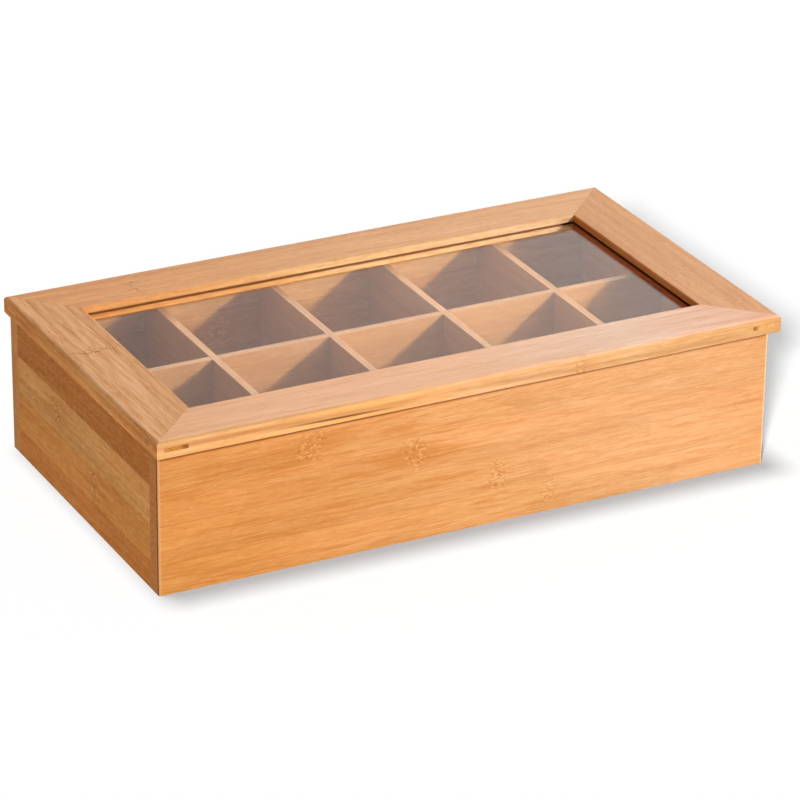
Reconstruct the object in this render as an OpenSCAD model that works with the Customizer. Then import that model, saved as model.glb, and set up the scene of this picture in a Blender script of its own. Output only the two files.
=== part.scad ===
// Tea bag organizer box: a bamboo box with ten compartments and a hinged, windowed lid.
// Millimetres. X runs along the long side, Y towards the hinges, Z up, with z = 0 under the walls.
// The origin is below the middle of the whole box, barrels of the hinges included.

/* [Lid frame] */
// Length of the lid
lid_length = 360; // [300:1:420]
// Depth of the lid, front to back
lid_depth = 200; // [170:1:240]
// Thickness of the lid frame
lid_t = 9.4; // [8.8:0.1:14]
// Width of each frame member
member_w = 32; // [24:0.5:40]
// How far the lid stands out past the body at each end
side_overhang = 3; // [1:0.5:8]
// How far the lid stands out past the front wall
front_overhang = 7; // [3:0.5:12]
// Rounding along the outer top edge of the lid
outer_round = 2; // [0.5:0.1:3]
// Rounding along the top edge of the window opening
inner_round = 1.2; // [0.4:0.1:2]
// Easing along the lower edges of the lid
under_round = 0.6; // [0.2:0.1:1]

/* [Window pane] */
// Thickness of the clear pane
pane_t = 1.5; // [1:0.1:2]
// Depth of the pane's top face below the top of the lid
pane_drop = 4.7; // [3:0.1:5]
// Depth of the groove that holds the pane's edge
pane_groove = 5.5; // [3:0.5:8]
// Room in the groove above the pane, which lies on the groove's lower side
pane_play = 0.9; // [0.1:0.1:1.2]

/* [Corner keys] */
// Thickness of the key let into each mitred corner
key_t = 2.2; // [1.5:0.1:2.6]
// Height of the key's lower face above the underside of the lid
key_rise = 3.7; // [2:0.1:4]
// Distance from the corner to the near end of the key, along either face
key_near = 4; // [3:0.2:8]
// Distance from the corner to the far end of the key, along either face
key_far = 17; // [12:0.2:24]

/* [Walls] */
// Height of the walls
wall_height = 79.5; // [60:0.5:110]
// Thickness of the walls
wall_t = 10; // [9:0.5:14]
// Rounding of the upright outer corners
corner_round = 1.2; // [0.5:0.1:2]
// Thickness of the tongue at each end of the end walls
tongue_t = 5; // [3:0.5:6]
// Length of the tongue let into the front and back walls
tongue_length = 4; // [2:0.5:6]

/* [Bottom panel] */
// Thickness of the bottom panel
panel_t = 4; // [3:0.5:6]
// Height of the panel's underside above the table
panel_rise = 3; // [2:0.5:6]
// Depth of the groove that holds the panel's edge
panel_groove = 4; // [2:0.5:5]

/* [Dividers] */
// Number of compartments along the box
columns = 5; // [3:1:7]
// Thickness of the dividers
divider_t = 4; // [3:0.5:6]
// Depth of the dividers' top edge below the top of the walls
divider_drop = 3; // [1:0.5:10]
// Depth of the housing that holds each end of a divider
housing_depth = 2; // [1:0.5:3]

/* [Hinges] */
// Length of each hinge
hinge_length = 25; // [20:1:35]
// Distance from the end of the body to the middle of a hinge
hinge_inset = 45; // [30:1:60]
// Width of a leaf, from the pin's axis to its edge
leaf_width = 7; // [6:0.1:7.5]
// Thickness of a leaf
leaf_t = 0.8; // [0.6:0.05:0.9]
// Outside diameter of the knuckles
barrel_d = 3.2; // [2.8:0.1:3.6]
// Diameter of the hinge pin
pin_d = 1.6; // [1.2:0.1:1.8]
// How far the pin stands out of the knuckles at each end
pin_end = 0.3; // [0.1:0.1:0.5]
// Distance of the pin's axis inside the back faces
pin_inset = 1; // [0.8:0.1:1.2]
// Angle at which the eased back edges meet and stop the lid
stop_angle = 100; // [90:1:110]
// Length of the lid leaf's middle knuckle
knuckle_length = 9; // [6:0.5:14]

/* [Screws] */
// Diameter of the screws' shank
screw_d = 2; // [1.5:0.1:2.4]
// Diameter of the countersunk heads
head_d = 3.4; // [2.8:0.1:3.8]
// Length of the screws in the back wall
wall_screw_length = 9; // [6:0.5:14]
// Length of the screws in the lid
lid_screw_length = 7; // [5:0.5:7.5]
// Distance between the two screws of a leaf
screw_spacing = 15; // [12:0.5:18]
// Distance from the pin's axis to the screws
screw_offset = 4.2; // [3.8:0.1:4.6]
// Depth of the cross recess in the heads
recess_depth = 0.4; // [0.2:0.1:0.5]
// Width of the cross recess
recess_w = 0.4; // [0.3:0.1:0.6]

/* [Clearances] */
// Glue line round tongues and corner keys
glue_line = 0.05; // [0.02:0.01:0.1]
// Clearance round panels and dividers in their grooves
slip_gap = 0.1; // [0.05:0.05:0.2]
// Room left at the end of each groove and housing
end_gap = 0.3; // [0.1:0.1:0.5]
// Gap between a closed leaf and the plane where lid and walls meet
leaf_gap = 0.1; // [0.05:0.05:0.15]
// Gap between neighbouring knuckles
knuckle_gap = 0.2; // [0.1:0.05:0.4]
// Room in the wood round the barrel
barrel_room = 0.3; // [0.2:0.05:0.5]
// Radial clearance of the pin in the lid's knuckle
running_fit = 0.05; // [0.02:0.01:0.1]
// Radial clearance of the pin in the box leaf's knuckles, and of screws in wood
tight_fit = 0.01; // [0.01:0.01:0.02]

/* [Hidden] */
$fn = 48;
cut = 1;                                             // how far a cutter runs past a face
body_length = lid_length - 2 * side_overhang;
body_depth = lid_depth - front_overhang;
inner_length = body_length - 2 * wall_t;
inner_depth = body_depth - 2 * wall_t;
barrel_r = barrel_d / 2;
pin_r = pin_d / 2;
barrel_proud = barrel_r - pin_inset;                 // barrel past the back faces
back_y = (lid_depth + barrel_proud) / 2 - barrel_proud;
lid_y = back_y - lid_depth / 2;                      // middle of the lid
body_y = back_y - body_depth / 2;                    // middle of the body
pin_y = back_y - pin_inset;
back_bevel = pin_inset * tan(stop_angle / 2);        // eased back edges, which stop the lid
floor_z = panel_rise + panel_t;                      // top of the bottom panel
divider_h = wall_height - divider_drop - floor_z;
pitch = (inner_length + divider_t) / columns;        // from one compartment to the next
pane_z = lid_t - pane_drop - pane_t;                 // pane's underside above the lid's underside
mortise = leaf_gap + leaf_t;                         // depth of the leaf's seat in the wood
hinge_x = body_length / 2 - hinge_inset;
sweep_r = barrel_r + barrel_room;
wood = "#dda468";
light_wood = "#e6b983";
dark_wood = "#9a6230";
steel = "#c9b27a";

// ---- shapes that repeat ----

// A box given by its low and high corners
module block(low, high) {
    translate(low) cube(high - low);
}

// What a rounding of radius r takes off the corner at the origin of a 2D shape
module round_off(r) {
    difference() {
        translate([-cut, -cut]) square(r + cut);
        translate([r, r]) circle(r);
    }
}

// What a bevel of size s takes off the corner at the origin of a 2D shape
module bevel_off(s) {
    polygon([[-s, 2 * s], [-s, -s], [2 * s, -s]]);
}

// Lays a 2D shape (across, up) along X, over the given length
module along_x(length) {
    rotate([90, 0, 90]) linear_extrude(length, center = true) children();
}

// Where the pins' axes, leaves and screws of both hinges cut the wood, from the pin's axis.
// up = -1 for the wall under it, 1 for the lid above it.
module hinge_cuts(up, screw_length) {
    for (side = [-1, 1]) translate([side * hinge_x, 0, 0]) {
        rotate([0, 90, 0])
            cylinder(h = hinge_length + 2 * (pin_end + barrel_room), r = sweep_r, center = true);
        mirror([0, 0, up < 0 ? 1 : 0]) {
            block([-hinge_length / 2 - slip_gap, -leaf_width - slip_gap, -cut],
                  [hinge_length / 2 + slip_gap, 0, mortise]);
            screw_places() cylinder(h = leaf_gap + screw_length + end_gap, r = screw_d / 2 + tight_fit);
        }
    }
}

// The two screw places of one leaf
module screw_places() {
    for (side = [-1, 1]) translate([side * screw_spacing / 2, -screw_offset, 0]) children();
}

// ---- walls ----

// Plan of a long wall, its outer face at y = 0, with both outer corners rounded
module long_wall_plan() {
    difference() {
        translate([-body_length / 2, 0]) square([body_length, wall_t]);
        for (side = [0, 1]) mirror([side, 0]) translate([-body_length / 2, 0]) round_off(corner_round);
    }
}

// A long wall with its grooves, its outer face at y = 0 and its inside towards +Y
module long_wall() {
    tongue_slot = tongue_length + glue_line;
    groove_end = inner_length / 2 + panel_groove;
    difference() {
        linear_extrude(wall_height) long_wall_plan();
        block([-groove_end, wall_t - panel_groove, panel_rise],
              [groove_end, wall_t + cut, floor_z + slip_gap]);
        for (side = [0, 1]) mirror([side, 0, 0])
            block([inner_length / 2 - glue_line, wall_t - tongue_slot, -cut],
                  [inner_length / 2 + tongue_t + glue_line, wall_t + cut, wall_height + cut]);
        for (i = [1 : columns - 1])
            block([divider_x(i) - housing_w / 2, wall_t - housing_depth, floor_z],
                  [divider_x(i) + housing_w / 2, wall_t + cut, wall_height + cut]);
    }
}

housing_w = divider_t + 2 * slip_gap;
function divider_x(i) = -inner_length / 2 - divider_t / 2 + i * pitch;

module front_wall() {
    color(wood) translate([0, body_y - body_depth / 2, 0]) long_wall();
}

module back_wall() {
    color(wood) difference() {
        translate([0, back_y, 0]) mirror([0, 1, 0]) long_wall();
        translate([0, back_y, wall_height]) mirror([0, 1, 0]) mirror([0, 0, 1])
            along_x(body_length + 2 * cut) bevel_off(back_bevel);
        translate([0, pin_y, wall_height]) hinge_cuts(-1, wall_screw_length);
    }
}

// An end wall between the long walls, its outer face at x = 0 and its inside towards +X
module end_wall() {
    difference() {
        union() {
            block([0, -inner_depth / 2, 0], [wall_t, inner_depth / 2, wall_height]);
            block([wall_t - tongue_t, -inner_depth / 2 - tongue_length, 0],
                  [wall_t, inner_depth / 2 + tongue_length, wall_height]);
        }
        block([wall_t - panel_groove, -body_depth / 2, panel_rise],
              [wall_t + cut, body_depth / 2, floor_z + slip_gap]);
        block([wall_t - housing_depth, -housing_w / 2, floor_z],
              [wall_t + cut, housing_w / 2, wall_height + cut]);
    }
}

module left_wall() {
    color(wood) translate([-body_length / 2, body_y, 0]) end_wall();
}

module right_wall() {
    color(wood) translate([body_length / 2, body_y, 0]) mirror([1, 0, 0]) end_wall();
}

// ---- inside the body ----

module bottom_panel() {
    half = [inner_length / 2, inner_depth / 2] + [1, 1] * (panel_groove - end_gap);
    color(light_wood) translate([0, body_y, 0])
        block([-half.x, -half.y, panel_rise], [half.x, half.y, floor_z]);
}

// The two dividers meet in half laps: the long one is notched from above, the others from below
lap_h = divider_h / 2;

module long_divider() {
    half = inner_length / 2 + housing_depth - end_gap;
    color(light_wood) translate([0, body_y, floor_z]) difference() {
        block([-half, -divider_t / 2, 0], [half, divider_t / 2, divider_h]);
        for (i = [1 : columns - 1])
            block([divider_x(i) - housing_w / 2, -divider_t, lap_h - slip_gap],
                  [divider_x(i) + housing_w / 2, divider_t, divider_h + cut]);
    }
}

module cross_divider(i) {
    half = inner_depth / 2 + housing_depth - end_gap;
    color(light_wood) translate([divider_x(i), body_y, floor_z]) difference() {
        block([-divider_t / 2, -half, 0], [divider_t / 2, half, divider_h]);
        block([-divider_t, -housing_w / 2, -cut], [divider_t, housing_w / 2, lap_h]);
    }
}

// ---- lid ----

// Section of a frame member: outer edge at 0, window edge at member_w, underside at 0
module member_section() {
    difference() {
        square([member_w, lid_t]);
        round_off(under_round);
        translate([0, lid_t]) mirror([0, 1]) round_off(outer_round);
        translate([member_w, 0]) mirror([1, 0]) round_off(under_round);
        translate([member_w, lid_t]) mirror([1, 0]) mirror([0, 1]) round_off(inner_round);
        translate([member_w - pane_groove, pane_z]) square([pane_groove + cut, pane_t + pane_play]);
    }
}

// Plan of the key in the corner whose faces run along +X and +Y, grown by gap
module key_plan(gap = 0) {
    low = key_near - gap;
    high = key_far + gap;
    polygon([[low, 0], [high, 0], [0, high], [0, low]]);
}

// A mitred member along X, outer edge at y = 0, with the slots of its two keys
module member(length) {
    difference() {
        intersection() {
            along_x(length) member_section();
            linear_extrude(lid_t) polygon([
                [-length / 2, 0], [length / 2, 0],
                [length / 2 - member_w, member_w], [-length / 2 + member_w, member_w]
            ]);
        }
        for (side = [0, 1]) mirror([side, 0, 0])
            translate([-length / 2, 0, key_rise - glue_line])
                linear_extrude(key_t + 2 * glue_line) key_plan(glue_line);
    }
}

// Moves children from the lid's own axes, middle of its underside, to their place
module on_lid() {
    translate([0, lid_y, wall_height]) children();
}

module lid_front_rail() {
    color(wood) on_lid() translate([0, -lid_depth / 2, 0]) member(lid_length);
}

module lid_back_rail() {
    color(wood) difference() {
        on_lid() rotate([0, 0, 180]) translate([0, -lid_depth / 2, 0]) member(lid_length);
        translate([0, back_y, wall_height]) mirror([0, 1, 0])
            along_x(lid_length + 2 * cut) bevel_off(back_bevel);
        translate([0, pin_y, wall_height]) hinge_cuts(1, lid_screw_length);
    }
}

module lid_left_stile() {
    color(wood) on_lid() rotate([0, 0, -90]) translate([0, -lid_length / 2, 0]) member(lid_depth);
}

module lid_right_stile() {
    color(wood) on_lid() rotate([0, 0, 90]) translate([0, -lid_length / 2, 0]) member(lid_depth);
}

module window_pane() {
    edge = member_w - pane_groove + end_gap;
    half = [lid_length / 2 - edge, lid_depth / 2 - edge];
    color("lightcyan", 0.4) on_lid()
        block([-half.x, -half.y, pane_z], [half.x, half.y, pane_z + pane_t]);
}

// The key of one corner: right and back are -1 or 1
module corner_key(right, back) {
    color(dark_wood) on_lid() mirror([right > 0 ? 1 : 0, 0, 0]) mirror([0, back > 0 ? 1 : 0, 0])
        translate([-lid_length / 2, -lid_depth / 2, key_rise]) linear_extrude(key_t) key_plan();
}

// ---- hinges, drawn from the middle of the pin's axis ----

module knuckle(low, high) {
    translate([low, 0, 0]) rotate([0, 90, 0]) cylinder(h = high - low, r = barrel_r);
}

module pin_bore(gap) {
    rotate([0, 90, 0]) cylinder(h = hinge_length + 2 * cut, r = pin_r + gap, center = true);
}

// Flat of a leaf above the axis, from the barrel to its edge, with countersunk screw holes
module leaf_flat() {
    difference() {
        block([-hinge_length / 2, -leaf_width, leaf_gap],
              [hinge_length / 2, -barrel_r - knuckle_gap, leaf_gap + leaf_t]);
        screw_places() translate([0, 0, leaf_gap]) {
            cylinder(h = leaf_t, r1 = head_d / 2 + tight_fit, r2 = screw_d / 2 + tight_fit);
            cylinder(h = leaf_t + cut, r = screw_d / 2 + tight_fit);
        }
    }
}

// The bend that joins the flat to its knuckle
module leaf_neck(low, high) {
    block([low, -barrel_r - knuckle_gap, leaf_gap], [high, 0, leaf_gap + leaf_t]);
}

module wall_leaf() {
    end = hinge_length / 2;
    near = knuckle_length / 2 + knuckle_gap;
    difference() {
        union() {
            mirror([0, 0, 1]) leaf_flat();
            for (side = [0, 1]) mirror([side, 0, 0]) {
                mirror([0, 0, 1]) leaf_neck(near, end);
                knuckle(near, end);
            }
        }
        pin_bore(tight_fit);
    }
}

module lid_leaf() {
    half = knuckle_length / 2;
    difference() {
        union() {
            leaf_flat();
            leaf_neck(-half, half);
            knuckle(-half, half);
        }
        pin_bore(running_fit);
    }
}

module hinge_pin() {
    rotate([0, 90, 0]) cylinder(h = hinge_length + 2 * pin_end, r = pin_r, center = true);
}

// A countersunk wood screw pointing up, its head's face at z = 0
module screw(length) {
    tip = screw_d;
    difference() {
        union() {
            cylinder(h = leaf_t, r1 = head_d / 2, r2 = screw_d / 2);
            cylinder(h = length - tip, r = screw_d / 2);
            translate([0, 0, length - tip]) cylinder(h = tip, r1 = screw_d / 2, r2 = screw_d / 8);
        }
        for (turn = [0, 90]) rotate([0, 0, turn])
            block([-screw_d / 2, -recess_w / 2, -cut], [screw_d / 2, recess_w / 2, recess_depth]);
    }
}

module leaf_screws(length) {
    screw_places() translate([0, 0, leaf_gap]) screw(length);
}

// Moves children to the left (-1) or right (1) hinge
module at_hinge(side) {
    translate([side * hinge_x, pin_y, wall_height]) children();
}

module hinge_wall_leaf(side) { color(steel) at_hinge(side) wall_leaf(); }
module hinge_lid_leaf(side) { color(steel) at_hinge(side) lid_leaf(); }
module hinge_pin_at(side) { color("silver") at_hinge(side) hinge_pin(); }
module hinge_wall_screws(side) {
    color(steel) at_hinge(side) mirror([0, 0, 1]) leaf_screws(wall_screw_length);
}
module hinge_lid_screws(side) { color(steel) at_hinge(side) leaf_screws(lid_screw_length); }

front_wall();
back_wall();
left_wall();
right_wall();
bottom_panel();
long_divider();
cross_divider(1);  // cross_divider_1
cross_divider(2);  // cross_divider_2
cross_divider(3);  // cross_divider_3
cross_divider(4);  // cross_divider_4
lid_front_rail();
lid_back_rail();
lid_left_stile();
lid_right_stile();
window_pane();
corner_key(-1, -1);  // corner_key_front_left
corner_key(1, -1);  // corner_key_front_right
corner_key(-1, 1);  // corner_key_back_left
corner_key(1, 1);  // corner_key_back_right
hinge_wall_leaf(-1);  // left_hinge_wall_leaf
hinge_lid_leaf(-1);  // left_hinge_lid_leaf
hinge_pin_at(-1);  // left_hinge_pin
hinge_wall_screws(-1);  // left_hinge_wall_screws
hinge_lid_screws(-1);  // left_hinge_lid_screws
hinge_wall_leaf(1);  // right_hinge_wall_leaf
hinge_lid_leaf(1);  // right_hinge_lid_leaf
hinge_pin_at(1);  // right_hinge_pin
hinge_wall_screws(1);  // right_hinge_wall_screws
hinge_lid_screws(1);  // right_hinge_lid_screws
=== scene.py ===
"""Looks of the tea bag organizer box: bamboo boards, clear pane and brass hinges, on a white studio floor."""

import math

import bpy
from mathutils import Matrix, Vector

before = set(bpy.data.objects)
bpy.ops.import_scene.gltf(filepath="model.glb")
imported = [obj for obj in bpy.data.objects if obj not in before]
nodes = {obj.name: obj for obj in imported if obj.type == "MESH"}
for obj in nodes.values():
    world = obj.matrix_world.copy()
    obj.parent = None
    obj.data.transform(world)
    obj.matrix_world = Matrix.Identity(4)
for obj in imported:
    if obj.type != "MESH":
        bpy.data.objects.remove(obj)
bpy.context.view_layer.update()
MM = 0.001
AXES = "xyz"
WHITE = (1.0, 1.0, 1.0, 1.0)


# ---- colours and node graphs ----


def srgb(r, g, b):
    """A colour as it looks on a screen, 0 to 255, as the linear colour that shaders take."""

    def one(c):
        c /= 255
        return c / 12.92 if c <= 0.04045 else ((c + 0.055) / 1.055) ** 2.4

    return (one(r), one(g), one(b), 1.0)


class Graph:
    """A node tree written as expressions: each method adds one node and returns its output."""

    def __init__(self, tree):
        self.tree = tree
        tree.nodes.clear()

    def put(self, socket, value):
        if isinstance(value, bpy.types.NodeSocket):
            self.tree.links.new(value, socket)
        elif value is not None:
            socket.default_value = value

    def node(self, kind, **settings):
        n = self.tree.nodes.new("ShaderNode" + kind)
        for k, v in settings.items():
            setattr(n, k, v)
        return n

    def math(self, op, a, b=None, c=None, clamp=False):
        n = self.node("Math", operation=op, use_clamp=clamp)
        for socket, value in zip(n.inputs, (a, b, c)):
            self.put(socket, value)
        return n.outputs[0]

    def add(self, a, b):
        return self.math("ADD", a, b)

    def sub(self, a, b):
        return self.math("SUBTRACT", a, b)

    def mul(self, a, b, clamp=False):
        return self.math("MULTIPLY", a, b, clamp=clamp)

    def madd(self, a, b, c):
        return self.math("MULTIPLY_ADD", a, b, c)

    def div(self, a, b):
        return self.math("DIVIDE", a, b)

    def absolute(self, a):
        return self.math("ABSOLUTE", a)

    def maximum(self, a, b):
        return self.math("MAXIMUM", a, b)

    def step(self, x, low, high, to_low=0.0, to_high=1.0):
        """A smooth step from to_low at low to to_high at high."""
        n = self.node("MapRange", interpolation_type="SMOOTHSTEP")
        for i, v in enumerate((x, low, high, to_low, to_high)):
            self.put(n.inputs[i], v)
        return n.outputs[0]

    def vector(self, x, y, z):
        n = self.node("CombineXYZ")
        for socket, value in zip(n.inputs, (x, y, z)):
            self.put(socket, value)
        return n.outputs[0]

    def parts(self, vector):
        n = self.node("SeparateXYZ")
        self.put(n.inputs[0], vector)
        return n.outputs

    def scaled(self, vector, scale):
        n = self.node("VectorMath", operation="SCALE")
        self.put(n.inputs[0], vector)
        n.inputs["Scale"].default_value = scale
        return n.outputs[0]

    def place_mm(self):
        """The place on the object in mm."""
        return self.scaled(self.node("TexCoord").outputs["Object"], 1 / MM)

    def noise(self, where, scale=1.0, detail=2.0, rough=0.5):
        n = self.node("TexNoise")
        self.put(n.inputs["Vector"], where)
        n.inputs["Scale"].default_value = scale
        n.inputs["Detail"].default_value = detail
        n.inputs["Roughness"].default_value = rough
        return n.outputs["Fac"]

    def random(self, where):
        n = self.node("TexWhiteNoise", noise_dimensions="3D")
        self.put(n.inputs["Vector"], where)
        return n.outputs["Value"]

    def mix(self, share, a, b, kind="MIX"):
        n = self.node("Mix", data_type="RGBA", blend_type=kind, clamp_result=False)
        self.put(n.inputs[0], share)
        self.put(n.inputs[6], a)
        self.put(n.inputs[7], b)
        return n.outputs[2]

    def ramp(self, x, stops, kind="LINEAR"):
        n = self.node("ValToRGB")
        n.color_ramp.interpolation = kind
        points = n.color_ramp.elements
        while len(points) < len(stops):
            points.new(0.5)
        for p, (at, colour) in zip(points, stops):
            p.position = at
            p.color = colour
        self.put(n.inputs[0], x)
        return n.outputs[0]

    def relief(self, shader, height, strength, distance):
        """Bump on a shader, its full height that many metres."""
        n = self.node("Bump")
        n.inputs["Strength"].default_value = strength
        n.inputs["Distance"].default_value = distance
        self.put(n.inputs["Height"], height)
        self.put(shader.inputs["Normal"], n.outputs[0])


def surface(name, colour, metallic=0.0, roughness=0.5, ior=1.5, transmission=0.0, specular=0.5):
    """A new material with one Principled shader: the material, its graph, the shader and the output node."""
    m = bpy.data.materials.new(name)
    m.use_nodes = True
    g = Graph(m.node_tree)
    out = g.node("OutputMaterial")
    s = g.node("BsdfPrincipled")
    g.put(s.inputs["Base Color"], colour)
    g.put(s.inputs["Metallic"], metallic)
    g.put(s.inputs["Roughness"], roughness)
    s.inputs["IOR"].default_value = ior
    s.inputs["Transmission Weight"].default_value = transmission
    s.inputs["Specular IOR Level"].default_value = specular
    g.put(out.inputs["Surface"], s.outputs[0])
    return m, g, s, out


def dress(names, material):
    for n in names:
        slots = nodes[n].data.materials
        slots.clear()
        slots.append(material)


def extent(name, axis):
    """Where a CAD node starts and ends along an axis, in mm."""
    places = [corner[AXES.index(axis)] / MM for corner in nodes[name].bound_box]
    return round(min(places), 3), round(max(places), 3)


# ---- bamboo ----

SEED_SHIFT = 37.7  # how far apart two boards' noises are taken, in their own units
LAST_STRIP = 40.0  # width that the last strip of a board may have, mm
WOOD_BUMP = (0.3, 0.0001)  # strength, and height in metres
WOOD_TONES = [
    (0.30, srgb(204, 130, 68)),
    (0.43, srgb(221, 153, 93)),
    (0.54, srgb(232, 170, 112)),
    (0.70, srgb(242, 188, 136)),
]
END_TONES = [(0.36, srgb(204, 132, 68)), (0.52, srgb(178, 102, 46)), (0.68, srgb(112, 50, 20))]
BUNDLE_BROWN = srgb(166, 96, 40)
FIBRE_BROWN = srgb(168, 98, 42)
PALE_FIBRE = srgb(250, 204, 150)
STREAK_ORANGE = srgb(204, 120, 44)
GLUE_BROWN = srgb(150, 80, 26)
SPLIT_BROWN = srgb(116, 60, 8)
SPLIT_PALE = srgb(252, 190, 120)
# painted shade under the lid's overhang
LID_SHADE_BROWN = srgb(150, 76, 14)
RUN_ORANGE = srgb(204, 122, 48)
PALE_FLECK = srgb(246, 190, 122)
ARC_BROWN = srgb(150, 70, 16)
# painted shade and painted highlight along the upright arrises
CORNER_SHADE_BROWN = srgb(150, 58, 10)
ARRIS_HIGHLIGHT_PALE = srgb(255, 198, 140)

NATURAL = ((0.0, (1.0, 1.0, 1.0)),)
LIP_TOP = (83.0, 83.6)  # heights between which a frame member's inner face turns from lower to upper part, mm


class Board:
    """The colour of a board glued from bamboo strips, laid on layer by layer.

    Places, widths and lengths are in mm. The fibres run along the axis grain (u), the strips lie side by side
    along the axis across (v), and the third axis goes through the board (w)."""

    def __init__(self, name, grain, across, seed, marks, fibre):
        self.material, self.g, self.shader, _ = surface(name, None)
        g = self.g
        self.seed = seed
        self.shift = SEED_SHIFT * seed
        where = g.node("TexCoord")
        self.place = g.parts(g.scaled(where.outputs["Object"], 1 / MM))
        self.face = g.parts(where.outputs["Normal"])
        through = (set(AXES) - {grain, across}).pop()
        self.u, self.v, self.w = (self.place[AXES.index(a)] for a in (grain, across, through))

        # fibres run nearly straight and swirl round each node of the culm
        self.drift = self.layer(90, 30, bent=False)
        self.wave = self.layer(6, 4, bent=False)
        self.knot, self.tail = self.knots(marks)
        swirl = 0.3 if self.knot is None else g.madd(self.knot, 3.6, 0.3)
        bend = g.madd(g.sub(self.drift, 0.5), 2.2, g.mul(g.sub(self.wave, 0.5), swirl))
        self.bent_v = g.add(self.v, bend)
        self.bent_w = g.add(self.w, g.mul(bend, 0.6))

        self.fine = self.layer(fibre, 0.9, detail=2.0, rough=0.6)
        self.broad = self.layer(55, 3.4)
        self.cloud = self.layer(110, 17, bent=False)
        self.dash = self.layer(4.5, 0.5)
        self.fleck = self.layer(2.1, 0.9, rough=0.6)

        # how far a face looks through the board, and the share of it that is a narrow side or the end
        self.flat = g.absolute(self.face[AXES.index(through)])
        self.flank = g.step(self.flat, 0.85, 0.45)
        self.end = g.step(g.absolute(self.face[AXES.index(grain)]), 0.75, 0.95)

    def layer(self, length, width, bent=True, offset=0.0, detail=1.0, rough=0.5):
        """A noise of spots of that length and width, which follow the fibres if bent."""
        g = self.g
        v, w = (self.bent_v, self.bent_w) if bent else (self.v, self.w)
        along = g.madd(self.u, 1 / length, self.shift + offset)
        return g.noise(g.vector(along, g.mul(v, 1 / width), g.mul(w, 1 / width)), detail=detail, rough=rough)

    def knots(self, marks):
        """Where the culm's nodes are, and where the dark fibres that run out of them are."""
        g = self.g
        knot = tail = None
        for along, side, half_u, half_v, strength in marks:
            du = g.div(g.sub(self.u, along), half_u)
            dv = g.div(g.sub(self.v, side), half_v)
            r = g.add(g.mul(du, du), g.math("POWER", g.absolute(dv), 4.0))
            one = g.step(g.madd(g.sub(self.wave, 0.5), 2.2, r), 1.15, 0.05, 0.0, strength)
            run = g.step(g.add(g.mul(g.mul(du, du), 0.08), g.mul(dv, dv)), 1.0, 0.0, 0.0, strength)
            knot = one if knot is None else g.maximum(knot, one)
            tail = run if tail is None else g.maximum(tail, run)
        return knot, tail

    def stain(self, share, colour):
        """Lays a colour over the wood, in a share from 0 to 1."""
        self.wood = self.g.mix(share, self.wood, colour)

    def tint(self, colour):
        """Multiplies the wood by a colour."""
        self.wood = self.g.mix(1.0, self.wood, colour, "MULTIPLY")

    def fibres(self, depth):
        g = self.g
        blend = g.add(g.mul(self.fine, 0.62), g.mul(self.broad, 0.38))
        self.wood = g.ramp(g.madd(g.sub(blend, 0.5), depth, 0.5), WOOD_TONES)

    def strips(self, bands):
        """A tint for each strip, from where it starts to where the next one does."""
        g = self.g
        low = bands[0][0]
        span = bands[-1][0] + LAST_STRIP - low
        stops = [((at - low) / span, colour + (1.0,)) for at, colour in bands]
        self.tint(g.ramp(g.div(g.sub(self.v, low), span), stops, "CONSTANT"))

    def tone_and_light(self, tones):
        """The tint along the grain: partly the wood's own tone, partly painted light, with lit ends paler,
        shaded ends darker and redder, and added blue standing in for the lacquer's sheen.
        """
        if len(tones) == 1:
            return tones[0][1] + (1.0,)
        g = self.g
        first = tones[0][0]
        length = tones[-1][0] - first
        stops = [((at - first) / length, colour + (1.0,)) for at, colour in tones]
        return g.ramp(g.div(g.sub(self.u, first), length), stops)

    def tone_and_light_tints(self, tones, side_tones, inside_tones, lip_tones):
        g = self.g
        colour = self.tone_and_light(tones)
        if side_tones is not None:
            colour = g.mix(self.flank, colour, self.tone_and_light(side_tones))
        if inside_tones is not None:
            toward = [g.mul(self.face[i], g.math("SIGN", self.place[i])) for i in (0, 1)]
            inner = self.tone_and_light(inside_tones)
            if lip_tones is not None:
                inner = g.mix(g.step(self.w, *LIP_TOP), self.tone_and_light(lip_tones), inner)
            colour = g.mix(g.step(g.add(*toward), -0.3, -0.7), colour, inner)
        self.tint(colour)

    def plies(self, ply, mottle):
        """A tone for each ply through the board, under broad clouds that are mottle strong."""
        g = self.g
        boundary, thickness, tilt = ply
        tilted = g.madd(self.u, tilt, g.add(self.w, g.mul(g.sub(self.drift, 0.5), 2.0)))
        self.ply_at = g.div(g.sub(tilted, boundary), thickness)
        tone = g.random(g.vector(g.math("FLOOR", self.ply_at), float(self.seed), 3.0))
        level = g.add(g.madd(tone, 0.12, 0.94), g.mul(g.sub(self.cloud, 0.5), mottle))
        self.tint(g.vector(level, level, g.madd(g.sub(level, 1.0), 1.5, 1.0)))

    def bundles(self, depth):
        """Short dark bundle ends, long dark fibres and short pale ones."""
        g = self.g
        line = self.layer(60, 0.6, offset=9.0)
        self.dashes = g.mul(g.step(self.dash, 0.58, 0.74), g.step(self.broad, 0.35, 0.65, 0.9, 0.25))
        lines = g.mul(g.step(line, 0.62, 0.74), g.step(self.cloud, 0.3, 0.65, 1.0, 0.3))
        self.stain(g.mul(self.dashes, 0.30 * depth, clamp=True), BUNDLE_BROWN)
        self.stain(g.mul(lines, 0.24 * depth, clamp=True), FIBRE_BROWN)
        self.stain(g.mul(g.step(self.dash, 0.40, 0.28), 0.4 * depth, clamp=True), PALE_FIBRE)

    def streaks(self, strength):
        """Long orange streaks, fewer to the right and in the bright clouds."""
        g = self.g
        streak = self.layer(34, 1.5, offset=21.0, detail=2.0)
        strong = g.mul(g.step(streak, 0.53, 0.64), g.step(self.cloud, 0.60, 0.42, 0.3, 1.0))
        strong = g.mul(strong, g.step(self.u, 90.0, -60.0, 0.3, 1.0))
        self.stain(g.mul(strong, strength), STREAK_ORANGE)

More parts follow.
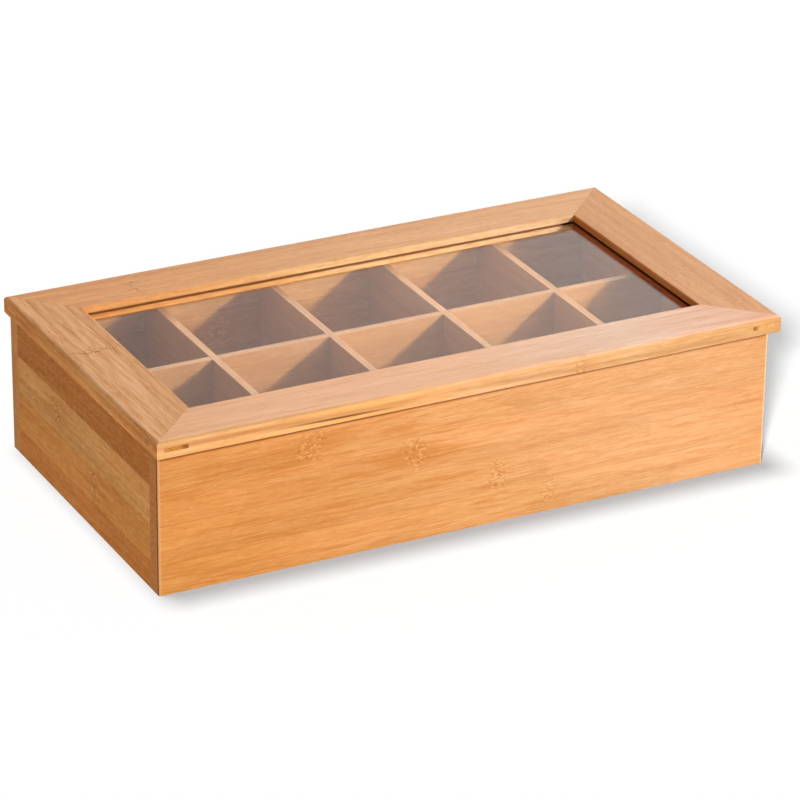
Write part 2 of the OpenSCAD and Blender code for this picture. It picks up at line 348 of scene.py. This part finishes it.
    def seams(self, bands):
        """Glue lines between strips and plies; a ply's line shows only where it comes out of the side."""
        g = self.g
        edge = None
        for at, _ in bands[1:]:
            d = g.absolute(g.sub(self.v, at))
            edge = d if edge is None else g.math("MINIMUM", edge, d)
        off_ply = g.absolute(g.math("WRAP", self.ply_at, 0.5, -0.5))
        seam = g.maximum(g.mul(g.step(off_ply, 0.06, 0.0), self.flank), g.mul(g.step(edge, 0.34, 0.05), 0.9))
        self.seam = g.mul(seam, g.step(self.cloud, 0.42, 0.60, 0.1, 0.9))
        self.stain(g.mul(self.seam, 0.5), GLUE_BROWN)

    def open_seam(self, split):
        """An open glue line on the narrow faces, darkest half-way along, with a pale strip below it."""
        g = self.g
        fade = 20.0
        u0, w0, u1, w1 = split
        middle = (u0 + u1) / 2
        off = g.sub(self.w, g.madd(g.sub(self.u, u0), (w1 - w0) / (u1 - u0), w0))
        here = g.mul(g.step(self.u, u0 - fade, middle), g.step(self.u, u1 + fade, middle))
        here = g.mul(here, self.flank)
        self.stain(g.mul(g.mul(here, g.step(off, 0.0, -0.3)), 0.15), SPLIT_PALE)
        gap = g.mul(here, g.step(g.absolute(off), 0.95, 0.2))
        self.stain(g.mul(gap, 0.95), SPLIT_BROWN)

    def lid_shade_band(self, level, width, low, high, low_strength, high_strength):
        """Painted shade: a dark band above level, where the lid's overhang shades the board, with its strength
        at both ends.
        """
        g = self.g
        band = g.step(self.v, level - width, level)
        band = g.mul(band, g.step(self.u, low, high, low_strength, high_strength))
        self.stain(g.mul(band, g.step(self.cloud, 0.3, 0.6, 0.6, 1.0)), LID_SHADE_BROWN)

    def culm_nodes(self):
        """The culm's nodes: pale and dark flecks that swirl, with dark fibres running out of them."""
        g = self.g
        self.specks = g.mul(g.step(self.fleck, 0.50, 0.62), self.knot, clamp=True)
        pale = g.mul(g.step(self.fleck, 0.47, 0.38), self.knot, clamp=True)
        run = g.mul(g.mul(self.tail, g.step(self.broad, 0.60, 0.42)), g.step(self.cloud, 0.56, 0.44))
        self.stain(g.mul(run, 0.45, clamp=True), RUN_ORANGE)
        self.stain(g.mul(pale, 0.42), PALE_FLECK)
        self.stain(g.mul(self.specks, 0.38), BUNDLE_BROWN)

    def arc(self, along, side, half_width, strength):
        """The thin dark line of a culm's node, bowed across a strip of the broad faces."""
        g = self.g
        dv = g.div(g.sub(self.v, side), half_width)
        bow = g.sub(self.u, g.madd(g.mul(dv, dv), 2.5, g.madd(g.sub(self.wave, 0.5), 6.0, along)))
        arc = g.mul(g.step(g.absolute(bow), 1.3, 0.2), g.step(g.absolute(dv), 1.1, 0.8))
        arc = g.mul(arc, g.sub(1.0, self.flank))
        self.stain(g.mul(arc, g.step(self.fleck, 0.40, 0.60, 0.25 * strength, strength)), ARC_BROWN)

    def arris_shade(self, start, stop, colour):
        """Painted shade on the long arrises, which dims their highlight and fades out from start to stop along
        the grain.
        """
        g = self.g
        bare = g.mul(g.step(self.flat, 0.98, 0.88), g.step(self.flat, 0.10, 0.40))
        share = g.mul(bare, g.step(self.u, start, stop, 1.0, 0.0))
        self.stain(share, g.mix(1.0, self.wood, colour, "MULTIPLY"))

    def end_grain(self, strength):
        """End grain is darker and shows the fibre bundles as dots."""
        g = self.g
        dots = g.noise(g.vector(0.0, g.mul(self.v, 1 / 2.4), g.mul(self.w, 1 / 0.8)), detail=2.0, rough=0.6)
        self.stain(g.mul(self.end, 0.75 * strength), g.ramp(dots, END_TONES))

    def upright_arrises(self, low, high, outside, width):
        """Painted shade: a dark line on the sawn side of the upright arrises; painted highlight: a pale line on
        their front.
        """
        g = self.g
        corner_shade = g.mul(self.end, g.step(g.absolute(g.sub(self.w, outside)), width, width / 2))
        near = g.maximum(g.step(self.u, low + 1.6, low + 0.5), g.step(self.u, high - 1.6, high - 0.5))
        arris_highlight = g.mul(g.sub(1.0, self.end), near)
        self.stain(g.mul(corner_shade, 0.9), CORNER_SHADE_BROWN)
        self.stain(g.mul(arris_highlight, 0.8), ARRIS_HIGHLIGHT_PALE)

    def finish(self, shine):
        """Puts the colour, the satin lacquer and the relief of the fibres on the shader."""
        g = self.g
        rough = g.madd(self.fine, 0.16, 0.38)
        height = g.sub(g.sub(self.fine, g.mul(self.dashes, 0.5)), g.mul(self.seam, 0.2))
        if self.knot is not None:
            rough = g.add(rough, g.mul(self.specks, 0.1))
            height = g.sub(height, g.mul(self.specks, 0.6))
        g.put(self.shader.inputs["Base Color"], self.wood)
        g.put(self.shader.inputs["Roughness"], g.add(rough, g.mul(self.end, 0.2)))
        self.shader.inputs["Specular IOR Level"].default_value = shine
        g.relief(self.shader, height, *WOOD_BUMP)
        return self.material


def bamboo(
    name, grain, across, seed, bands, ply, marks, tones=NATURAL, side_tones=None, inside_tones=None,
    lip_tones=None, fibre=7.5, depth=0.6, mottle=0.22, streaks=0.0, split=None, lid_shade_band=None, arcs=(),
    arris_shade=None, end_tone=1.0, upright=None, shine=0.35,
):
    """The material of a bamboo board, with grain and across as axis letters, and places and sizes in mm.

    bands: the strips, each as (start along across, tint), from low to high.
    ply: (one ply boundary, ply thickness, tilt) through the board.
    marks: the culm's nodes on the faces, as (along, across, half length, half width, strength).
    tones: the tint along the grain, partly the wood's own tone and partly painted light, as (place along the
    grain, tint). side_tones is that of the narrow faces, inside_tones that of faces that look at the box's
    middle, and lip_tones that of their lower part.
    fibre: length of the fine fibres. depth: how strongly the fibres stand out. mottle, streaks, end_tone and
    shine: strength of the clouds, the orange streaks, the end grain and the lacquer's gloss.
    split: an open glue line, (along, through, along, through) of its two ends.
    The painted shade under the lid's overhang: (level, width, low end, high end, strength at each). arcs:
    (along, across, half width, strength).
    The painted shade on the long arrises: (start, stop, tint). upright: (low end, high end, outer face, width)
    of the painted shade and painted highlight along the upright arrises.
    """
    board = Board(name, grain, across, seed, marks, fibre)
    board.fibres(depth)
    board.strips(bands)
    board.tone_and_light_tints(tones, side_tones, inside_tones, lip_tones)
    board.plies(ply, mottle)
    board.bundles(depth)
    if streaks:
        board.streaks(streaks)
    board.seams(bands)
    if split is not None:
        board.open_seam(split)
    if lid_shade_band is not None:
        board.lid_shade_band(*lid_shade_band)
    if marks:
        board.culm_nodes()
    for arc in arcs:
        board.arc(*arc)
    if arris_shade is not None:
        board.arris_shade(*arris_shade)
    board.end_grain(end_tone)
    if upright is not None:
        board.upright_arrises(*upright)
    return board.finish(shine)


# tints of single strips
EVEN = (0.97, 0.97, 0.97)
PALE = (1.0, 1.0, 1.0)
DEEP = (0.94, 0.90, 0.84)
RED = (0.96, 0.88, 0.76)

# ---- the walls ----

left_end, right_end = extent("front_wall", "x")
front_face, _ = extent("front_wall", "y")
# The front wall's tones are partly painted light: darker and redder at the shaded left end, paler and bluer
# toward the lit right. The bottom strip's lighter tint is partly painted light against the shade along the
# foot. The band at the top is painted shade under the lid, and the upright arrises carry painted shade and a
# painted highlight.
dress(
    ["front_wall"],
    bamboo(
        "bamboo_front_wall", "x", "z", 1,
        bands=[
            (-2, (1.04, 1.04, 1.06)), (18.5, (0.99, 1.0, 1.04)),
            (38.5, (0.975, 0.975, 1.03)), (58.5, (0.965, 1.0, 1.08)),
        ],
        ply=(-88.3, 5.0, 0.0),
        marks=[(-93, 66.5, 9, 9.5, 1.0), (-33, 49, 8, 10, 1.0), (15.5, 28, 7, 10, 0.9), (46, 11, 7, 8, 0.7)],
        tones=(
            (-177, (0.95, 0.79, 0.49)), (-120, (0.97, 0.83, 0.56)), (0, (1.01, 0.95, 0.85)),
            (110, (0.985, 1.01, 1.06)), (177, (0.915, 0.88, 0.85)),
        ),
        fibre=11, depth=0.5, streaks=0.5, lid_shade_band=(75.8, 1.4, left_end, right_end, 0.95, 0.40), end_tone=0.7,
        upright=(left_end, right_end, front_face, 2.2), shine=0.1,
    ),
)
# The back wall's darker inside tone is partly painted shade of the box's interior.
dress(
    ["back_wall"],
    bamboo(
        "bamboo_back_wall", "x", "z", 2,
        bands=[(-2, DEEP), (17, EVEN), (37.5, RED), (57, PALE)],
        ply=(94.7, 5.0, 0.0),
        marks=[(120, 27, 7, 10, 0.9), (-60, 47, 8, 10, 1.0), (38, 68, 7, 11, 0.9), (-128, 8, 6, 9, 0.8)],
        tones=((0, (0.97, 0.90, 0.72)),),
        inside_tones=((0, (0.78, 0.77, 0.50)),),
        end_tone=0.4, shine=0.1,
    ),
)
# The left wall faces away from the lamps: its darker, redder strips and tones are partly painted shade.
dress(
    ["left_wall"],
    bamboo(
        "bamboo_left_wall", "y", "z", 3,
        bands=[(-6, (0.86, 0.65, 0.42)), (15, (0.97, 0.84, 0.62)), (36, PALE), (57.5, (0.68, 0.50, 0.26))],
        ply=(-172.0, 5.0, 0.0),
        marks=[(37, 47, 8, 9, 1.0), (-11, 25, 9, 10, 1.0)],
        arcs=[(35, 47, 6, 0.45), (-13, 24, 9, 0.6)],
        tones=(
            (-93, (1.0, 0.90, 0.58)), (0, (1.0, 0.93, 0.68)),
            (60, (0.97, 0.90, 0.66)), (97, (0.91, 0.80, 0.50)),
        ),
        depth=0.9, mottle=0.36, shine=0.03,
    ),
)
dress(
    ["right_wall"],
    bamboo(
        "bamboo_right_wall", "y", "z", 4,
        bands=[(-4, EVEN), (16.5, DEEP), (36.5, PALE), (56, EVEN)],
        ply=(172.0, 5.0, 0.0),
        marks=[(-30, 46, 7, 10, 1.0), (42, 26, 7, 10, 0.9), (10, 8, 6, 8, 0.7)],
        tones=((0, (0.96, 0.92, 0.86)),),
    ),
)

# ---- dividers and bottom ----

dress(
    [f"cross_divider_{i}" for i in (1, 2, 3, 4)],
    bamboo(
        "bamboo_dividers_across", "y", "z", 5,
        bands=[(0, EVEN), (22, PALE), (42, EVEN), (62, PALE)],
        ply=(0.0, 33.8, 0.0),
        marks=[(-40, 32, 5, 9, 0.6), (55, 52, 5, 9, 0.6)],
        tones=((0, (0.75, 0.71, 0.52)),),
        depth=0.45,
    ),
)
dress(
    ["long_divider"],
    bamboo(
        "bamboo_long_divider", "x", "z", 6,
        bands=[(0, DEEP), (20, EVEN), (41, PALE), (61, EVEN)],
        ply=(3.7, 40.0, 0.0),
        marks=[(-120, 50, 6, 9, 0.5), (75, 30, 6, 9, 0.6)],
        tones=((0, (0.72, 0.70, 0.53)),),
        depth=0.45,
    ),
)
dress(
    ["bottom_panel"],
    bamboo(
        "bamboo_bottom_panel", "x", "y", 7,
        bands=[
            (-100, EVEN), (-78, DEEP), (-57, PALE), (-37, EVEN), (-16, RED),
            (5, EVEN), (26, PALE), (46, DEEP), (67, EVEN),
        ],
        ply=(5.0, 40.0, 0.0),
        marks=[(-70, -47, 6, 9, 0.8), (40, -6, 6, 9, 0.8), (110, 56, 6, 9, 0.8)],
        tones=((0, (1.0, 0.88, 0.68)),),
    ),
)

# ---- the lid's frame ----

# The front rail's tones on top and front are partly painted light: the rising blue toward the right stands in
# for the lacquer's sheen, and the long arris carries painted shade at the left that dims its highlight.
dress(
    ["lid_front_rail"],
    bamboo(
        "bamboo_lid_front_rail", "x", "y", 8,
        bands=[(-105, PALE), (-95, EVEN), (-76, PALE)],
        ply=(83.2, 40.0, 0.012),
        marks=[(-85, -85, 6, 8, 0.5), (59, -100, 4, 4, 0.8), (140, -86, 5, 8, 0.3)],
        tones=(
            (-180, (0.96, 0.86, 0.66)), (0, (1.01, 1.05, 1.28)),
            (90, (1.01, 1.34, 2.35)), (180, (0.95, 1.0, 1.50)),
        ),
        side_tones=(
            (-180, (1.16, 1.20, 1.12)), (-60, (1.20, 1.17, 0.92)), (0, (1.05, 1.10, 1.15)),
            (100, (0.93, 1.04, 1.10)), (180, (0.81, 0.83, 0.74)),
        ),
        fibre=14, split=(-111.0, 83.0, -48.0, 82.1),
        arris_shade=(-120.0, 60.0, (0.84, 0.93, 1.02, 1.0)), shine=0.5,
    ),
)
# The back rail's tones, outside and inside, are partly painted light: paler and bluer toward the lit right,
# standing in for the lacquer's sheen.
dress(
    ["lid_back_rail"],
    bamboo(
        "bamboo_lid_back_rail", "x", "y", 9,
        bands=[(60, EVEN), (74, PALE), (94, DEEP)],
        ply=(84.0, 40.0, 0.0),
        marks=[(-113, 82, 6, 7, 0.8), (96, 76, 6, 7, 0.7)],
        arcs=[(-114, 82, 7, 0.5)],
        tones=(
            (-180, (0.93, 0.81, 0.57)), (-60, (0.88, 0.79, 0.61)),
            (20, (0.92, 0.90, 0.88)), (180, (0.97, 1.06, 1.30)),
        ),
        inside_tones=(
            (-180, (0.95, 0.75, 0.44)), (-60, (0.95, 0.95, 0.85)),
            (0, (1.03, 1.26, 1.40)), (180, (0.95, 1.2, 1.70)),
        ),
        shine=0.3,
    ),
)
# The left stile's paler, bluer top tone is partly painted sheen, and its darker, redder outer side is partly
# painted shade.
dress(
    ["lid_left_stile"],
    bamboo(
        "bamboo_lid_left_stile", "y", "x", 10,
        bands=[(-190, PALE), (-172, EVEN), (-155, DEEP)],
        ply=(84.5, 40.0, 0.01),
        marks=[(15, -162, 5, 9, 1.0)],
        arcs=[(14, -164, 15, 0.6)],
        tones=((0, (1.07, 1.12, 1.32)),),
        side_tones=(
            (-100, (0.93, 0.69, 0.37)), (-60, (1.03, 0.84, 0.50)),
            (30, (1.0, 0.84, 0.52)), (97, (0.96, 0.68, 0.34)),
        ),
        fibre=18, depth=1.1, shine=0.05,
    ),
)
dress(
    ["lid_right_stile"],
    bamboo(
        "bamboo_lid_right_stile", "y", "x", 11,
        bands=[(140, DEEP), (153, EVEN), (172, PALE)],
        ply=(84.0, 5.2, 0.01),
        marks=[(-75, 172, 5, 7, 0.5)],
        tones=((-100, (0.88, 0.86, 0.93)), (100, (0.84, 0.77, 0.70))),
        # painted shade: the dark, red inner face above and below the pane's groove looks away from the lamps
        inside_tones=((0, (0.88, 0.52, 0.09)),),
        lip_tones=((0, (0.56, 0.20, 0.07)),),
        shine=0.4,
    ),
)

# ---- the corner keys ----

KEY_DARK = [(0.36, srgb(164, 92, 28)), (0.50, srgb(204, 134, 60)), (0.64, srgb(228, 164, 90))]
KEY_LIGHT = [(0.36, srgb(198, 128, 64)), (0.50, srgb(214, 148, 82)), (0.64, srgb(234, 172, 106))]
KEY_INNER_END = srgb(112, 56, 12)
KEY_FADE = (167.5, 164.0)  # distance from the box's middle where a key starts to get dark, and is darkest, mm


def key(name, seed, tones):
    """A strip let into a corner, its inner end darkened by glue."""
    m, g, s, _ = surface(name, None, specular=0.1)
    x, y, z = g.parts(g.place_mm())
    streak = g.noise(g.vector(g.mul(x, 1 / 1.3), g.mul(y, 1 / 1.3), g.mul(z, 1 / 0.6)), detail=3.0, rough=0.6)
    slow = g.noise(g.vector(g.mul(x, 1 / 7), g.mul(y, 1 / 7), float(seed)), detail=1.0)
    wood = g.ramp(g.add(g.mul(streak, 0.6), g.mul(slow, 0.4)), tones)
    inner = g.step(g.absolute(x), *KEY_FADE, 0.0, 0.6)
    g.put(s.inputs["Base Color"], g.mix(inner, wood, KEY_INNER_END))
    g.put(s.inputs["Roughness"], g.madd(streak, 0.2, 0.42))
    g.relief(s, streak, *WOOD_BUMP)
    return m


corners = ("front_left", "front_right", "back_left", "back_right")
for i, corner in enumerate(corners):
    tones = KEY_DARK if corner == "front_left" else KEY_LIGHT
    dress([f"corner_key_{corner}"], key(f"dark_bamboo_key_{i + 1}", i, tones))


# ---- the clear pane ----


def clear_acrylic():
    """Clear plastic with faint smudges; light falls through it unbent."""
    m, g, s, out = surface("clear_acrylic", srgb(253, 253, 253), ior=1.49, transmission=1.0, specular=0.3)
    smudge = g.noise(g.node("TexCoord").outputs["Object"], scale=14.0, detail=3.0, rough=0.6)
    g.put(s.inputs["Roughness"], g.step(smudge, 0.45, 0.75, 0.02, 0.06))
    open_way = g.node("BsdfTransparent")
    open_way.inputs[0].default_value = (0.95, 0.95, 0.95, 1.0)
    both = g.node("MixShader")
    g.put(both.inputs[0], g.node("LightPath").outputs["Is Shadow Ray"])
    g.put(both.inputs[1], s.outputs[0])
    g.put(both.inputs[2], open_way.outputs[0])
    g.put(out.inputs["Surface"], both.outputs[0])
    return m


dress(["window_pane"], clear_acrylic())

# ---- metals ----


def metal(name, light, deep, roughness, along):
    """Worn sheet or turned metal: fine drawing lines along one axis, tarnish in clouds."""
    m, g, s, _ = surface(name, None, metallic=1.0)
    place = g.place_mm()
    widths = [0.12] * 3
    widths[AXES.index(along)] = 8
    lines = g.noise(g.vector(*(g.mul(p, 1 / width) for p, width in zip(g.parts(place), widths))), detail=2.0)
    cloud = g.noise(place, scale=0.35, detail=3.0, rough=0.6)
    blend = g.add(g.mul(lines, 0.35), g.mul(cloud, 0.65))
    g.put(s.inputs["Base Color"], g.ramp(blend, [(0.36, deep), (0.58, light)]))
    rough = g.madd(lines, 0.14, roughness - 0.1)
    g.put(s.inputs["Roughness"], g.add(rough, g.step(cloud, 0.6, 0.3, 0.0, 0.12)))
    g.relief(s, lines, 0.15, 0.00005)
    return m


brass = metal("brushed_brass", srgb(226, 190, 120), srgb(176, 132, 66), 0.34, "x")
pin = metal("pin_steel", srgb(205, 203, 198), srgb(150, 148, 145), 0.3, "x")
screw = metal("screw_steel", srgb(214, 196, 150), srgb(150, 124, 78), 0.36, "z")
for side in ("left", "right"):
    dress([f"{side}_hinge_wall_leaf", f"{side}_hinge_lid_leaf"], brass)
    dress([f"{side}_hinge_pin"], pin)
    dress([f"{side}_hinge_wall_screws", f"{side}_hinge_lid_screws"], screw)

# ---- floor ----

FLOOR_HALF = 6.0
FLOOR_SEEN = (0.12, 0.12, 0.12, 1.0)
FLOOR_SHED = (0.07, 0.07, 0.07, 1.0)  # darker for the light that it sheds on the object
GLOW_START, GLOW_FULL = 0.60, 1.6  # distance from the object where the floor's own white sets in and is full


def square(name, half):
    mesh = bpy.data.meshes.new(name)
    corners = [(-half, -half, 0.0), (half, -half, 0.0), (half, half, 0.0), (-half, half, 0.0)]
    mesh.from_pydata(corners, [], [(0, 1, 2, 3)])
    ob = bpy.data.objects.new(name, mesh)
    bpy.context.scene.collection.objects.link(ob)
    return ob


def floor_white():
    """White paint: the lamps light it near the object, and further out it glows white by itself."""
    m, g, s, out = surface("floor_white", None, roughness=0.9, specular=0.0)
    path = g.node("LightPath").outputs
    mirrored = path["Is Glossy Ray"]
    through_pane = path["Is Transmission Ray"]
    shed = g.maximum(path["Is Diffuse Ray"], g.mul(g.sub(mirrored, through_pane), 1.3))
    g.put(s.inputs["Base Color"], g.mix(shed, FLOOR_SEEN, FLOOR_SHED))
    far = g.node("VectorMath", operation="LENGTH")
    g.put(far.inputs[0], g.node("TexCoord").outputs["Object"])
    seen = g.maximum(path["Is Camera Ray"], g.maximum(mirrored, through_pane))
    glow = g.node("Emission")
    glow.inputs[0].default_value = WHITE
    g.put(glow.inputs[1], g.mul(seen, g.step(far.outputs["Value"], GLOW_START, GLOW_FULL)))
    total = g.node("AddShader")
    g.put(total.inputs[0], s.outputs[0])
    g.put(total.inputs[1], glow.outputs[0])
    g.put(out.inputs["Surface"], total.outputs[0])
    return m


floor = square("floor", FLOOR_HALF)
floor.data.materials.append(floor_white())

# ---- room ----

AMBIENT = (0.35, 0.35, 0.35, 1.0)
WALL_TINT = (1.06, 0.97, 0.90, 1.0)


def studio():
    """The room: dim for the light it sheds, white behind the object, and bright on the right in reflections."""
    world = bpy.data.worlds.new("studio")
    world.use_nodes = True
    g = Graph(world.node_tree)
    out = g.node("OutputWorld")
    path = g.node("LightPath").outputs
    right = g.parts(g.node("TexCoord").outputs["Generated"])[0]
    direct = g.math("LESS_THAN", path["Diffuse Depth"], 0.5)
    clear = g.math("LESS_THAN", g.add(path["Diffuse Depth"], path["Glossy Depth"]), 0.5)
    shown = g.maximum(path["Is Camera Ray"], g.mul(path["Is Transmission Ray"], clear))
    wall = g.mul(g.step(right, 0.30, 0.56, 0.46, 1.18), g.step(right, 0.80, 0.58, 0.35, 1.0))
    wall = g.mix(1.0, wall, WALL_TINT, "MULTIPLY")
    level = g.mix(g.mul(path["Is Glossy Ray"], direct), AMBIENT, wall)
    back = g.node("Background")
    g.put(back.inputs[0], g.mix(shown, level, WHITE))
    g.put(out.inputs[0], back.outputs[0])
    return world


bpy.context.scene.world = studio()

# ---- lamps ----


def only_floor(name, state):
    """A light-linking collection that holds the floor, included or excluded."""
    c = bpy.data.collections.new(name)
    c.objects.link(floor)
    c.collection_objects[0].light_linking.link_state = state
    return c


def lamp(name, kind, size, power, place, aim, lights, glossy=True):
    """A disk lamp of that size in metres, or a sun of that size in radians, at place and turned to aim.
    lights is the collection that it lights, and glossy tells whether it shows in reflections."""
    data = bpy.data.lights.new(name, kind)
    if kind == "AREA":
        data.shape = "DISK"
        data.size = size
    else:
        data.angle = size
    data.energy = power
    ob = bpy.data.objects.new(name, data)
    bpy.context.scene.collection.objects.link(ob)
    ob.location = place
    ob.rotation_mode = "QUATERNION"
    ob.rotation_quaternion = (Vector(aim) - Vector(place)).to_track_quat("-Z", "Y")
    ob.light_linking.receiver_collection = lights
    ob.visible_glossy = glossy


BOX_MIDDLE = (0.0, 0.0, 0.05)
ORIGIN = (0.0, 0.0, 0.0)
on_object = only_floor("on_object", "EXCLUDE")
on_floor = only_floor("on_floor", "INCLUDE")
lamp("key", "AREA", 0.14, 21.2, (0.87, -1.07, 0.66), BOX_MIDDLE, on_object, glossy=False)
lamp("behind", "AREA", 0.5, 6.3, (0.45, 0.98, 1.10), BOX_MIDDLE, on_object)
lamp("fill", "AREA", 0.25, 1.20, (-1.0, -0.45, 0.12), (-0.18, 0.0, 0.04), on_object)
lamp("over_floor", "SUN", 0.25, 13.3, (-0.06, 0.073, 1.0), ORIGIN, on_floor)
lamp("across_floor", "SUN", 0.11, 27.5, (-0.541, -0.734, 0.435), ORIGIN, on_floor)

# ---- camera ----

AZIMUTH = -0.47525
ELEVATION = 0.43889
ROLL = 0.01193
DISTANCE = 2.19911
FOCAL_LENGTH = 187.24
SENSOR_WIDTH = 36.0
TARGET = Vector((-6.30, -23.60, 45.0)) * MM


def place_camera():
    level = math.cos(ELEVATION)
    back = Vector((math.sin(AZIMUTH) * level, -math.cos(AZIMUTH) * level, math.sin(ELEVATION)))
    right = Vector((math.cos(AZIMUTH), math.sin(AZIMUTH), 0.0))
    up = back.cross(right)
    side = right * math.cos(ROLL) + up * math.sin(ROLL)
    top = up * math.cos(ROLL) - right * math.sin(ROLL)
    data = bpy.data.cameras.new("camera")
    data.lens = FOCAL_LENGTH
    data.sensor_width = SENSOR_WIDTH
    data.clip_start = 0.05
    data.clip_end = 50.0
    camera = bpy.data.objects.new("camera", data)
    bpy.context.scene.collection.objects.link(camera)
    turn = Matrix((side, top, back)).transposed().to_4x4()
    camera.matrix_world = Matrix.Translation(TARGET + back * DISTANCE) @ turn
    bpy.context.scene.camera = camera


place_camera()
bpy.context.scene.view_settings.view_transform = "Standard"
